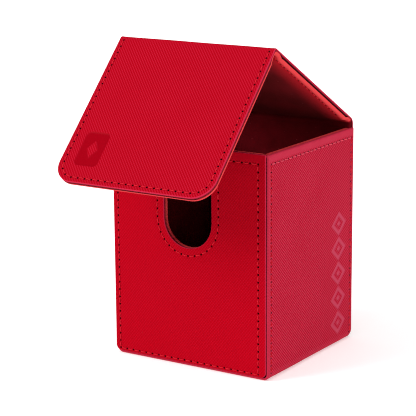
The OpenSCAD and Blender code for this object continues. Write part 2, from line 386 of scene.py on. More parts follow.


# PU leatherette, rolled hot under a twill-engraved cylinder: ribs at 45 degrees, 1 mm apart, cut into
# beads by a lighter cross line; the crests carry a painted glint, a pale light painted on them, and the
# valleys stay deep red. Rib and cross are lines per mm, across and along the sheet
leatherette = {
    # Lid, Front and Side are lit and shaded copies of one leatherette: each face's colours hold the light it
    # gets, the Side's pinker ones a painted reflection; the flat bands keep part of the painted glint, and
    # the Side's paler pink stamp colour is painted reflection too
    "Lid": {"rib": (0.73, -0.67), "cross": (0.67, 0.69), "crossShare": 0.25, "rolledFlat": 0.6,
            "valley": "#A30012", "crestGlint": "#B91731", "pressed": "#960012", "sheen": 0.0},
    "Front": {"rib": (0.75, -0.61), "cross": (0.62, 0.75), "crossShare": 0.42, "rolledFlat": 0.6,
              "valley": "#AB0011", "crestGlint": "#B50925", "pressed": "#A00012", "sheen": 0.0},
    "Side": {"rib": (0.68, 0.69), "cross": (0.69, -0.68), "crossShare": 0.35, "rolledFlat": 0.72,
             "valley": "#A30422", "crestGlint": "#C2364F", "pressed": "#B83E56", "sheen": 0.01},
    # the hole colour is painted shade, near black in needle holes and at the walls' foot; the edge colour is
    # a painted highlight on a skin's turned edge
    "hole": "#100002", "edgeHighlight": "#CA2645",
    "grain": (3.1, 3.0, 0.6),  # noise cells per mm, detail, roughness: pores a third of a mm wide
    "cloud": (0.05, 4.0, 0.5),  # worn patches 20 mm wide
    "worn": 0.22,  # how far a worn patch falls back to the valley's red
    "glint": (0.3, 1.0),  # heights between which the crest's colour comes in
    "turned": (0.28, 0.05), "punched": (0.55, 0.36),  # mm to an edge and to a hole's middle
    "relief": 0.00008, "bump": 0.7, "roughness": (0.42, 0.6), "pressedRoughness": 0.36,
    "shader": {"Specular IOR Level": 0.01, "Sheen Roughness": 0.35, "Sheen Tint": "#FFB4F0"},
}


def twillLeatherette(kind, s=leatherette):
    # two sines across the sheet, mixed, are the ribs' height; it sets the colour from valley to the crest's
    # painted glint, and worn patches, stamps, the painted highlight of turned edges and the painted shade of
    # needle holes and walls are mixed over it in that order
    o = s[kind]
    material, tree, shader = newMaterial("twillLeatherette" + kind)
    uv = node(tree, "UVMap", uv_map="UVMap")
    emboss, needle, pressed, edge, shade = (
        node(tree, "Attribute", None, "Fac", attribute_name=key)
        for key in ("emboss", "needle", "pressed", "edge", "shade"))
    swings = []
    for wave in ("rib", "cross"):
        # a sine across the lines, from 0 to 1
        across = (2 * pi * o[wave][0], 2 * pi * o[wave][1], 0)
        phase = node(tree, "VectorMath", {0: uv, 1: across}, "Value", operation="DOT_PRODUCT")
        swing = node(tree, "Math", {0: phase}, operation="SINE")
        swing = node(tree, "Math", {0: swing, 1: 0.5, 2: 0.5}, operation="MULTIPLY_ADD")
        swings.append(swing)
    beads = node(tree, "Mix", {0: o["crossShare"], 2: swings[0], 3: swings[1]})
    height = node(tree, "Mix", {0: emboss, 2: o["rolledFlat"], 3: beads})
    grain, cloud = (
        node(tree, "TexNoise", {"Vector": uv, "Scale": scale, "Detail": detail, "Roughness": rough})
        for scale, detail, rough in (s["grain"], s["cloud"]))
    # the crest's colour comes in as a painted glint on the ribs' crests
    glint, turned, punched = (
        node(tree, "MapRange", {0: value, 1: low, 2: high}, interpolation_type="SMOOTHSTEP")
        for value, (low, high) in ((height, s["glint"]), (edge, s["turned"]), (needle, s["punched"])))
    worn = node(tree, "MapRange", {0: cloud, 1: 0.35, 2: 0.7, 3: 0.0, 4: s["worn"]})
    # painted shade in near black: in the needle holes, and down the walls towards their foot
    paintedShade = node(tree, "Math", {0: punched, 1: shade}, operation="MAXIMUM")
    colour = o["valley"]
    for share, tint in ((glint, o["crestGlint"]), (worn, o["valley"]), (pressed, o["pressed"]),
                        (turned, s["edgeHighlight"]), (paintedShade, s["hole"])):
        colour = node(tree, "Mix", {0: share, 6: colour, 7: tint}, 2, data_type="RGBA")
    relief = node(tree, "Math", {0: grain, 1: 0.25, 2: height}, operation="MULTIPLY_ADD")
    bump = node(tree, "Bump", {"Height": relief, "Strength": s["bump"], "Distance": s["relief"]})
    low, high = s["roughness"]
    gloss = node(tree, "MapRange", {0: grain, 3: low, 4: high})
    gloss = node(tree, "Mix", {0: pressed, 2: gloss, 3: s["pressedRoughness"]})
    setInputs(tree, shader, {"Base Color": colour, "Normal": bump, "Roughness": gloss,
                             "Sheen Weight": o["sheen"], **s["shader"]})
    return material


# microfibre suede, its pile raised by sanding: dead matt, its flat colour kept deep as painted shade for the
# box's inside, cloudy where it was stroked, with painted light on a band near an edge and brightest on the
# rolled edge, and a few specks of lint
suede = {
    # the near and rolled colours are painted light near an edge, the flat colour is kept dark as painted
    # shade for the inside, and the hole colour is painted shade in the needle holes
    "flat": "#52060D", "stroked": "#680B15", "near": "#A81420", "rolledEdgeLight": "#D63E42", "lint": "#B85050",
    "hole": "#20020A",
    "fibre": 1.6, "cloud": 0.07, "specks": 0.22,  # noise cells per mm; the fibre is drawn coarse, to show
    "strokes": (0.3, 0.7),
    "nearLightBand": (13.0, 1.0), "rolledLightBand": (2.6, 1.0), "punched": (0.55, 0.35),  # mm to an edge or a hole
    "relief": 0.00012, "bump": 0.7,
    "shader": {"Roughness": 0.95, "Specular IOR Level": 0.03,
               "Sheen Weight": 0.04, "Sheen Roughness": 0.5, "Sheen Tint": "#FF8A7E"},
}


def brushedSuede(s=suede):
    # stroked clouds over the flat red, then lint, the painted light of the band near an edge and of the
    # rolled edge, and the painted shade of the holes; the distance to the edge is ruffled by the pile, so
    # that no band has a straight border
    material, tree, shader = newMaterial("brushedMicrofibreSuede")
    place = node(tree, "TexCoord", None, "Object")
    inMm = node(tree, "VectorMath", {0: place, "Scale": 1000.0}, operation="SCALE")
    needle, edge = (node(tree, "Attribute", None, "Fac", attribute_name=key) for key in ("needle", "edge"))
    noise = {"Vector": inMm, "Scale": s["fibre"], "Detail": 4.0, "Roughness": 0.7}
    pile = node(tree, "TexNoise", noise)
    cloud = node(tree, "TexNoise", {"Vector": inMm, "Scale": s["cloud"], "Detail": 3.0})
    speck = node(tree, "TexVoronoi", {"Vector": inMm, "Scale": s["specks"]}, "Distance")
    ragged = node(tree, "Math", {0: pile, 1: 0.5, 2: edge}, operation="MULTIPLY_ADD")
    stroked, near, rolledEdgeLight, punched = (
        node(tree, "MapRange", {0: value, 1: low, 2: high}, interpolation_type="SMOOTHSTEP")
        for value, (low, high) in ((cloud, s["strokes"]), (ragged, s["nearLightBand"]), (ragged, s["rolledLightBand"]),
                                   (needle, s["punched"])))
    linty = node(tree, "MapRange", {0: speck, 1: 0.05, 2: 0.03, 3: 0.0, 4: 0.6})
    colour = s["flat"]
    for share, tint in ((stroked, "stroked"), (linty, "lint"), (near, "near"), (rolledEdgeLight, "rolledEdgeLight"),
                        (punched, "hole")):
        colour = node(tree, "Mix", {0: share, 6: colour, 7: s[tint]}, 2, data_type="RGBA")
    bump = node(tree, "Bump", {"Height": pile, "Strength": s["bump"], "Distance": s["relief"]})
    setInputs(tree, shader, {"Base Color": colour, "Normal": bump, **s["shader"]})
    return material


# bonded polyester thread, twisted and waxed: fine slanting plies under a satin line, each ply's crest a
# painted highlight
threadFinish = {
    "plies": (14.0, 7.9),  # radians per mm, round the thread and along it
    "relief": 0.00006, "bump": 0.6, "shader": {"Roughness": 0.45, "Specular IOR Level": 0.06},
    "sewn": ("#BC0A1A", "#E6263A"),
    "topRowHighlight": ("#C42038", "#F4647A"),  # a lighter copy for the sides' top rows, a painted highlight where the thread catches the light
}


def bondedThread(name, colours, s=threadFinish):
    # a sine along a slanting line is the plies' height, and mixes the low colour into the high one as a
    # painted highlight on each ply's crest
    material, tree, shader = newMaterial(name)
    uv = node(tree, "UVMap", uv_map="UVMap")
    phase = node(tree, "VectorMath", {0: uv, 1: (*s["plies"], 0)}, "Value", operation="DOT_PRODUCT")
    plies = node(tree, "Math", {0: phase}, operation="SINE")
    lit = node(tree, "MapRange", {0: plies, 1: -1.0, 2: 1.0})
    colour = node(tree, "Mix", {0: lit, 6: colours[0], 7: colours[1]}, 2, data_type="RGBA")
    bump = node(tree, "Bump", {"Height": plies, "Strength": s["bump"], "Distance": s["relief"]})
    setInputs(tree, shader, {"Base Color": colour, "Normal": bump, **s["shader"]})
    return material


# greyboard cut with a knife, made near black as painted shade for the gap between layers: a fibrous, dead
# matt edge
boardFinish = {
    "deep": "#120406", "worn": "#341418",
    "fibre": 900.0,  # noise cells per metre, so fibres of about 1 mm
    "relief": 0.0001, "bump": 0.5, "shader": {"Roughness": 0.95, "Specular IOR Level": 0.1},
}


def shadeDarkBoard(s=boardFinish):
    # one fibre noise is the colour's share and the relief
    material, tree, shader = newMaterial("shadeDarkGreyboard")
    place = node(tree, "TexCoord", None, "Object")
    noise = {"Vector": place, "Scale": s["fibre"], "Detail": 4.0, "Roughness": 0.7}
    fibre = node(tree, "TexNoise", noise)
    colour = node(tree, "Mix", {0: fibre, 6: s["deep"], 7: s["worn"]}, 2, data_type="RGBA")
    bump = node(tree, "Bump", {"Height": fibre, "Strength": s["bump"], "Distance": s["relief"]})
    setInputs(tree, shader, {"Base Color": colour, "Normal": bump, **s["shader"]})
    return material


# a sintered magnet under bright nickel: a cool metal, slightly clouded by the barrel it was plated in
nickelFinish = {
    "dull": "#A9ABB0", "bright": "#C9CBCF",
    "cloud": 2500.0,  # noise cells per metre
    "roughness": (0.2, 0.36),
}


def nickelPlate(s=nickelFinish):
    # one cloud noise is the share of both the colour and the roughness
    material, tree, shader = newMaterial("barrelNickelPlate")
    place = node(tree, "TexCoord", None, "Object")
    cloud = node(tree, "TexNoise", {"Vector": place, "Scale": s["cloud"], "Detail": 2.0})
    colour = node(tree, "Mix", {0: cloud, 6: s["dull"], 7: s["bright"]}, 2, data_type="RGBA")
    low, high = s["roughness"]
    gloss = node(tree, "MapRange", {0: cloud, 3: low, 4: high})
    setInputs(tree, shader, {"Base Color": colour, "Roughness": gloss, "Metallic": 1.0})
    return material


lidLeatherette, frontLeatherette, sideLeatherette = (twillLeatherette(k) for k in ("Lid", "Front", "Side"))
thread = bondedThread("bondedPolyesterThread", threadFinish["sewn"])
# the lighter copy of the thread is a painted highlight for the sides' top rows
highlitThread = bondedThread("highlitPolyesterThread", threadFinish["topRowHighlight"])
suedeLining, board, nickel = brushedSuede(), shadeDarkBoard(), nickelPlate()
print("stage: materials made")


def finishPiece(piece, material, nodes, body=None):
    # the piece's finish, the nodes it stands for, which are hidden, and the body it rides on;
    # a piece with no body stays where it is
    piece.data.materials.append(material)
    if nodes:
        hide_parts(*nodes)
    if body:
        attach(piece, body)
    return piece


def placer(path, plane, flip=1):
    # turns a sheet's measures (across, along, height) into X, Y, Z: the path's point plus the height
    # times its outward way, to the right of the heading, or left if flipped; across is the third axis
    def place(u, s, h):
        point, heading = along(path, s)
        out = flip * np.stack([np.sin(heading), -np.cos(heading)], axis=-1)
        flat = point + out * np.asarray(h)[..., None]
        u = np.broadcast_to(u, flat.shape[:-1])
        order = (u, flat[..., 0], flat[..., 1]) if plane == "yz" else (flat[..., 0], u, flat[..., 1])
        return np.stack(order, axis=-1)
    return place


def flatPlacer(axis, face, facing):
    # the same for a flat sheet whose outside stands at one value of an axis
    def place(u, v, h):
        order = [u, v]
        order.insert(axis, face + facing * np.asarray(h))
        return np.stack(np.broadcast_arrays(*order), axis=-1)
    return place


def threadsOn(name, place, rows, lift=0.0):
    # every stitch is a short bar of thread that dives into a needle hole at each end: a ring of six
    # points, thinner towards the ends, carried along an arch on the sheet's own axes at the stitch
    a = np.concatenate([needleHoles(row)[:-1] for row in rows])
    b = np.concatenate([needleHoles(row)[1:] for row in rows])
    length = np.hypot(*(b - a).T)
    middle, step, small = (a + b) / 2, (b - a) / length[:, None], 0.05

    def at(offset, h):
        # the stitch's middle, moved on the sheet by the offset and raised by h
        p = middle + offset
        return place(p[:, 0], p[:, 1], np.full(len(p), h))

    centre = at(0, lift)
    forward = at(step * small, lift) - at(-step * small, lift)
    forward /= np.linalg.norm(forward, axis=1)[:, None]
    out = at(0, lift + small) - centre
    out /= np.linalg.norm(out, axis=1)[:, None]
    across = np.cross(out, forward)
    rings, sides = stitching["rings"], stitching["sides"]
    t = np.linspace(-1, 1, rings)
    arch = stitching["crown"] - stitching["dive"] * np.abs(t) ** 3.2  # height of the bar's middle line
    thick = stitching["thread"] * np.sqrt(1 - 0.5 * t ** 6)
    angle = np.linspace(0, 2 * pi, sides, endpoint=False)
    run = t * length[:, None] * stitching["shows"] / 2
    line = centre[:, None] + forward[:, None] * run[..., None] + out[:, None] * arch[None, :, None]
    wide, tall = np.cos(angle) * thick[:, None], np.sin(angle) * thick[:, None] * 0.8
    ring = across[:, None, None] * wide[None, ..., None] + out[:, None, None] * tall[None, ..., None]
    points = line[:, :, None] + ring
    index = np.arange(len(points) * rings * sides).reshape(-1, rings, sides)
    loop = np.concatenate([index, index[..., :1]], axis=2)
    quads = np.stack([loop[:, :-1, :-1], loop[:, 1:, :-1], loop[:, 1:, 1:], loop[:, :-1, 1:]], axis=-1)
    caps = np.concatenate([index[:, 0, ::-1], index[:, -1]])
    faces = quads.reshape(-1, 4).tolist() + caps.tolist()
    uv = np.stack(np.broadcast_arrays(angle[None, None] * stitching["thread"], run[..., None]), axis=-1)
    return makeMesh(name, points.reshape(-1, 3), faces, uv.reshape(-1, 2), sharp=75)


def roundedEdge(u, v, left, right, low, high, cornerLow, cornerHigh):
    # distance inside a rectangle whose corners are rounded at its low and its high end
    across, reach = np.abs(u - (left + right) / 2), (right - left) / 2
    distance = np.minimum(reach - across, np.minimum(v - low, high - v))
    for corner, end, way in ((cornerLow, low, -1), (cornerHigh, high, 1)):
        if corner > 0:
            du, dv = across - (reach - corner), way * (v - end) + corner
            distance = np.where((du > 0) & (dv > 0), corner - np.hypot(du, dv), distance)
    return distance


def cornerPull(v, low, high, cornerLow, cornerHigh):
    # how far a row of the sheet is drawn in round its corners: the corner's radius less the root of
    # its square less the square of how far into the corner the row lies
    pull = np.zeros_like(v)
    for corner, end, way in ((cornerLow, low, -1), (cornerHigh, high, 1)):
        if corner > 0:
            past = np.clip(way * (v - end) + corner, 0, corner)
            pull = np.maximum(pull, corner - np.sqrt(np.clip(corner ** 2 - past ** 2, 0, None)))
    return pull


# what a draped sheet starts from, in mm; each piece names what differs
sheetSettings = {
    "step": 0.42, "round": 0.3, "thick": skinThick, "cornerLow": 0.0, "cornerHigh": 0.0,
    "openLow": False, "openHigh": False,  # an end with no edge, where the next sheet goes on
    "groove": 0.1, "hole": 0.5, "sway": 0.05, "swayRise": None,  # from where to where the sway sets in
    "smooth": (),  # rolled flat: the measure, from where to where, and how much embossing is left
    "stamp": None, "stampDepth": 0.3,
    "lip": 0.0, "endLip": (0.0, 0.0), "flatAt": (),  # flatAt: folds, where the sides have no lip
    "pinchAt": (), "pinch": 0.0, "pinchReach": (1.0, 4.0),  # where the far side is drawn in at a corner
    "coarse": None,  # a stretch that nobody sees
    "paintedLightEdges": "lrbt", "paleFrom": None, "edgeLightEase": (1.0, 1.5),  # which edges get painted light, and from where along a lining it starts
    "wallShade": 0.0,
}


def drapedSheet(name, place, left, right, low, high, rows, path=None, **options):
    # a sheet with a fine face: v runs along it, u across, and its height is its relief. Its hidden side
    # is a few strips, deeper at the turned edges than in the middle
    o = {**sheetSettings, **options}
    corners = o["cornerLow"], o["cornerHigh"]
    edgeLow, edgeHigh = -farAway if o["openLow"] else low, farAway if o["openHigh"] else high
    roundLow, roundHigh = 0 if o["openLow"] else o["round"], 0 if o["openHigh"] else o["round"]

    # the grid: rows drawn in round the corners, each with the same shares across
    s = stations(low, high, o["step"], roundLow, roundHigh, path, o["coarse"])
    quarter = 1 - np.sin(np.linspace(0, pi / 2, 26))
    for corner, end, way in zip(corners, (low, high), (1, -1)):
        if corner > 0:
            s = np.concatenate([s, end + way * corner * quarter])
            s = np.unique(np.round(s, gridSettings["decimals"]))
    t = (stations(left, right, o["step"], o["round"], o["round"]) - left) / (right - left)
    pull = cornerPull(s, edgeLow, edgeHigh, *corners)
    start, end = left + pull, right - pull
    for at in o["pinchAt"]:
        end = end - o["pinch"] * (1 - smoothStep(np.abs(s - at), *o["pinchReach"]))
    u = start[:, None] + (end - start)[:, None] * t
    v = np.repeat(s[:, None], len(t), axis=1)

    # the face: its relief, what is left of the embossing, and the stamp
    edge = roundedEdge(u, v, left, right, edgeLow, edgeHigh, *corners)
    if o["pinchAt"]:
        edge = np.minimum(edge, np.minimum(u - start[:, None], end[:, None] - u))
    relief, hole = pressedHeight(u, v, edge, rows, o)
    emboss = smoothStep(hole, *reliefSettings["bare"])
    ease = reliefSettings["ease"]
    for axis, a, b, kept in o["smooth"]:
        w = u if axis == "u" else v
        inside = smoothStep(w, a - ease, a + ease) * (1 - smoothStep(w, b - ease, b + ease))
        emboss = emboss * (1 - (1 - kept) * inside)
    stamp = o["stamp"](u, v) if o["stamp"] else np.zeros_like(u)
    top = place(u, v, relief - o["stampDepth"] * stamp)

    # the hidden side
    lipWide = sizes["lipWide"]
    inFold = np.zeros_like(s)
    for at in o["flatAt"]:
        inFold = np.maximum(inFold, 1 - smoothStep(np.abs(s - at), free + 1.5, free + 2.5))
    lipLow, lipHigh = o["endLip"]
    deep = o["thick"] + np.where(s < low + lipWide, lipLow, 0) + np.where(s > high - lipWide, lipHigh, 0)
    atSide = np.maximum(deep, o["thick"] + o["lip"] * (1 - inFold))
    reach = [(0, atSide), (lipWide, atSide), (lipWide, deep)]
    under = [place(start + d, s, -h) for d, h in reach] + [place(end - d, s, -h) for d, h in reach[::-1]]

    # mm to the edges that get painted light: a highlight on a skin, a paler band on a lining
    seen = {"l": u - left, "r": right - u, "b": v - low, "t": high - v}
    most = reliefSettings["edgeReach"]
    shown = np.minimum.reduce([seen[k] for k in o["paintedLightEdges"]] + [np.full(u.shape, most)])
    if o["cornerHigh"] > 0:
        shown = np.minimum(shown, edge)
    if o["paleFrom"] is not None:
        before, after = o["edgeLightEase"]
        shown = shown + most * (1 - smoothStep(v, o["paleFrom"] - before, o["paleFrom"] + after))
    values = pointValues(emboss * (1 - stamp), hole, shown, stamp)
    return sheetMesh(name, top, np.stack(under, axis=1), np.stack([u, v], axis=-1), values, o["wallShade"])


def splitAtFold(x, low, fold, high):
    # a straight row in two parts that leave the fold's bend free
    gap = stitching["foldGap"]
    return [straightRow((x, low), (x, fold - gap)), straightRow((x, fold + gap), (x, high))]


# the long strip's skin: up the back, over the lid and down the flap
rowX = lidHalf - inset
overrun = 40  # mm that the back's paths run on over the lid, past the seam

backSettings = {
    "foldBend": 4.0, "rowGap": 4.0,  # mm, the rows' gap at the fold is to each side of it
    "sheet": {"openHigh": True, "cornerLow": sizes["cornerBend"], "step": 0.46, "lip": sizes["lip"],
              "flatAt": (0,), "smooth": [("v", -3.5, 3.5, 0.4)], "paintedLightEdges": "lr", "wallShade": 0.8},
}
backCorners = [(backY, 0), backLine, onLid(overrun, 0)]
backPath = foldedPath(backCorners, [backSettings["foldBend"]], -backLine[1])  # 0 is the fold
backLow = footZ - backLine[1]
backRowFoot, rowGap = footZ + inset - backLine[1], backSettings["rowGap"]
backRows = [straightRow((-rowX, backRowFoot), (rowX, backRowFoot))]
for x in (-rowX, rowX):
    backRows += [straightRow((x, backRowFoot), (x, -rowGap)), straightRow((x, rowGap), (x, sizes["seam"]))]
placeBack = placer(backPath, "yz")
backSkin = drapedSheet("backSkin", placeBack, -lidHalf, lidHalf, backLow, sizes["seam"], backRows, backPath,
                       **backSettings["sheet"])
finishPiece(backSkin, lidLeatherette, ["back_skin", "back_hinge_skin"])
backThread = finishPiece(threadsOn("backThread", placeBack, backRows), thread, ["back_stitching"])

emblem = {  # mm, along is from the ridge
    "across": -26.3, "along": 59.5, "halfWide": 6.2, "halfLong": 8.6, "corner": 2.4,
    "lozenge": (2.9, 4.3), "lozengeSlope": 2.2, "cardSoft": (-0.3, 0.15), "lozengeSoft": (-0.3, 0.3),
}


def cardEmblem(u, s):
    # a plain stamp: a card-shaped field pressed in round a raised lozenge; 1 where pressed, 0 outside.
    # The card is the distance to a rectangle with round corners, the lozenge the sum of two shares
    o, (wide, tall) = emblem, emblem["lozenge"]
    du, ds = np.abs(u - o["across"]), np.abs(s - (lidLength + o["along"]))
    bu, bs = du - o["halfWide"] + o["corner"], ds - o["halfLong"] + o["corner"]
    card = np.hypot(np.maximum(bu, 0), np.maximum(bs, 0)) + np.minimum(np.maximum(bu, bs), 0) - o["corner"]
    lozenge = (du / wide + ds / tall - 1) * o["lozengeSlope"]
    return (1 - smoothStep(card, *o["cardSoft"])) * smoothStep(lozenge, *o["lozengeSoft"])


lidSettings = {
    "ridgeBend": 1.5, "pathRun": 90,  # mm, the path goes on past the flap's end
    "sheet": {"openLow": True, "cornerHigh": sizes["flapCorner"], "stamp": cardEmblem, "lip": sizes["lip"],
              "endLip": (0.0, sizes["lip"]), "flatAt": (lidLength,), "paintedLightEdges": "lr", "wallShade": 0.8,
              "smooth": [("v", lidLength - 1.8, lidLength + 2.4, 0.35)]},
}
lidPath = foldedPath([backLine, ridgeLine, onFlap(lidSettings["pathRun"], 0)], [lidSettings["ridgeBend"]])
flapEnd = lidLength + flapLength


def borderRows(low, fold, end):
    # rows down both sides, round the free corners and along the free edge
    corner = sizes["flapCorner"]
    radius = corner - inset
    rows = [straightRow((-(rowX - radius), end - inset), (rowX - radius, end - inset))]
    for side in (-1, 1):
        rows += splitAtFold(side * rowX, low, fold, end - corner)
        rows.append(roundRow((side * (rowX - radius), end - corner), radius, 90 - 90 * side, 90))
    return rows


lidRows = borderRows(sizes["seam"], lidLength, flapEnd)
placeLid = placer(lidPath, "yz")
lidSkin = drapedSheet("lidAndFlapSkin", placeLid, -lidHalf, lidHalf, sizes["seam"], flapEnd, lidRows, lidPath,
                      **lidSettings["sheet"])
finishPiece(lidSkin, lidLeatherette, ["lid_skin", "ridge_hinge_skin", "flap_skin"])
lidThread = finishPiece(threadsOn("lidAndFlapThread", placeLid, lidRows), thread,
                        ["lid_stitching", "flap_stitching"])
print("stage: back, lid and flap skins")

# its lining: the path is the face that shows, and the thickness goes outwards. Over a fold it lies on
# the skin, and a ramp takes it up over the board's edge on both sides
foldDepth = skinThick + liningThick
liningSettings = {
    "half": lidHalf - 0.1, "ramp": 2.5, "hingeGap": 0.05,  # mm
    "backBends": [1.6, 2.0, 2.0], "lidBends": [2.0, 2.0, 0.7, 2.0, 2.0],
    "rowStart": 1.0, "threadLift": -0.3,
    "both": {"openLow": True, "round": 1.1, "thick": liningThick, "lip": sizes["liningLip"],
             "paintedLightEdges": "lr"},
    "back": {"openHigh": True, "sway": 0.0, "step": 0.7},
    "lid": {"cornerHigh": sizes["flapCorner"], "groove": 0.3, "hole": 0.3, "sway": 0.06, "swayRise": (0, 8),
            "step": 0.5, "endLip": (0.0, sizes["liningLip"])},
}
liningHalf, ramp = liningSettings["half"], liningSettings["ramp"]
backMitre = foldDepth * np.tan((pi / 2 - lidAngle) / 2)
ridgeMitre = foldDepth * np.tan((pi / 2 + lidAngle - flapAngle) / 2)

backLiningFoot = (backY - panel, rim + liningSettings["hingeGap"])
backLiningPath = foldedPath(
    [backLiningFoot, onLid(backMitre, foldDepth), onLid(free, foldDepth), onLid(free + ramp, panel),
     onLid(overrun, panel)], liningSettings["backBends"])
placeBackLining = placer(backLiningPath, "yz", -1)
backLiningEnd = backLiningPath["at"][-1] - (overrun - sizes["seam"])
backLiningFold = backLiningPath["at"][1]
backHingeLining = drapedSheet(
    "backHingeLining", placeBackLining, -liningHalf, liningHalf, 0, backLiningEnd, [], backLiningPath,
    flatAt=(backLiningFold,), paleFrom=backLiningFold, **liningSettings["both"], **liningSettings["back"])
finishPiece(backHingeLining, suedeLining, ["back_hinge_lining"])

lidLiningPath = foldedPath(
    [onLid(sizes["seam"], panel), onLid(lidLength - free - ramp, panel), onLid(lidLength - free, foldDepth),
     onLid(lidLength - ridgeMitre, foldDepth), onFlap(free, foldDepth), onFlap(free + ramp, panel),
     onFlap(flapLength, panel)], liningSettings["lidBends"])
lidLiningEnd, ridgeAt = lidLiningPath["at"][-1], lidLiningPath["at"][3]
placeLidLining = placer(lidLiningPath, "yz", -1)
liningRows = borderRows(liningSettings["rowStart"], ridgeAt, lidLiningEnd)
lidLining = drapedSheet(
    "lidAndFlapLining", placeLidLining, -liningHalf, liningHalf, 0, lidLiningEnd, liningRows, lidLiningPath,
    flatAt=(ridgeAt,), **liningSettings["both"], **liningSettings["lid"])
finishPiece(lidLining, suedeLining, ["lid_lining", "ridge_hinge_lining", "flap_lining"])
liningThread = finishPiece(threadsOn("lidAndFlapInnerThread", placeLidLining, liningRows,
                                     liningSettings["threadLift"]), thread, [])
print("stage: lid and flap linings")

# the wrap: down the left side, under the base, up the right side
wrapPath = foldedPath([(-half, rim), (-half, 0), (half, 0), (half, rim)], [sizes["cornerBend"]] * 2, -rim)
wrapEnd = wrapPath["at"][-1]
rightFoot = wrapEnd - rim  # the left foot is at 0
placeWrap = placer(wrapPath, "xz")
sideTop = stitching["topRowDrop"]
sideRow = -frontY - skinThick - inset + stitching["sideShift"]
sideRows, topRows = [], []
for top, foot in ((-rim + sideTop, -sizes["cornerBend"]),
                  (wrapEnd - sideTop, rightFoot + sizes["cornerBend"])):
    sideRows += [straightRow((y, top), (y, foot)) for y in (-sideRow, sideRow)]
    topRows.append(straightRow((-sideRow, top), (sideRow, top)))

lozenges = {  # mm, low and high are the first and the last middle
    "across": 24.6, "low": 10.5, "high": 57.5, "count": 5, "wide": 6.7, "tall": 5.5,
    "line": 1.55, "outline": 0.82, "dot": 0.24, "slope": 4.0, "soft": 0.2,
}


def lozengeRow(u, s):
    # a row of plain stamped lozenges up the right side, each an outline with a dot at its middle; the
    # sum of the shares of width and height is 1 on a lozenge's own border
    o = lozenges
    z = s - rightFoot
    pitch = (o["high"] - o["low"]) / (o["count"] - 1)
    nearest = np.clip(np.round((z - o["low"]) / pitch), 0, o["count"] - 1)
    away = np.abs(u - o["across"]) / o["wide"] + np.abs(z - o["low"] - nearest * pitch) / o["tall"]
    outline = np.abs((away - o["outline"]) * o["slope"]) - o["line"] / 2
    middle = (away - o["dot"]) * o["slope"]
    return 1 - smoothStep(np.minimum(outline, middle), -o["soft"], o["soft"])


wrapSettings = {
    "edges": (-38.0, 37.95), "threadLift": 0.08,  # mm
    "sheet": {"round": 0.75, "step": 0.46, "stamp": lozengeRow, "stampDepth": 0.35, "endLip": (0.25, 0.25),
              "coarse": (6.0, rightFoot - 6.0), "paintedLightEdges": "b", "pinchAt": (0.0, rightFoot), "pinch": 1.1,
              "smooth": [("v", -rim - 1, -rim + sideTop - 0.9, 0.0),
                         ("v", wrapEnd - sideTop + 0.9, wrapEnd + 1, 0.0),
                         ("u", -39, -36.6, 0.1), ("u", 36.8, 39, 0.1),
                         ("v", -4, 4, 0.4), ("v", rightFoot - 4, rightFoot + 4, 0.4)]},
}
wrapFront, wrapBack = wrapSettings["edges"]
sideWrap = drapedSheet("sideWrap", placeWrap, wrapFront, wrapBack, -rim, wrapEnd, sideRows + topRows,
                       wrapPath, **wrapSettings["sheet"])
finishPiece(sideWrap, sideLeatherette, ["side_wrap_skin"], "case")
finishPiece(threadsOn("sideThread", placeWrap, sideRows), thread,
            ["left_stitching", "right_stitching"], "case")
finishPiece(threadsOn("sideTopThread", placeWrap, topRows, wrapSettings["threadLift"]), highlitThread,
            [], "case")
print("stage: side wrap")

# the front and its lining: sheets drawn from the notch's edge out to their own edge
frontLeft, frontRight = frontLow[0], frontHigh[0]
frontMid = (frontLeft + frontRight) / 2
notchRadius = sizes["notchRadius"]
notchCentre = rim - sizes["notchDepth"] + notchRadius
frontSettings = {
    "rowLeft": 2.4, "rowRight": 3.7, "rowFoot": 1.2,  # mm, the rows' distances from the edges
    "corner": 2.5, "step": 0.45, "columns": 115, "rimLip": 0.3, "rimOnly": False, "wallShade": 1.0,
}
frontLiningSettings = {
    "corner": 0.3, "step": 0.9, "columns": 50, "round": 0.45, "sway": 0.06, "thick": liningThick,
    "groove": 0.0, "hole": 0.0, "rimLip": 0.35, "rimOnly": True,
}
notchGrid = {"shoulder": 4.5, "edgeShare": 0.012}  # mm past the notch's arm that pairs with the foot's ends


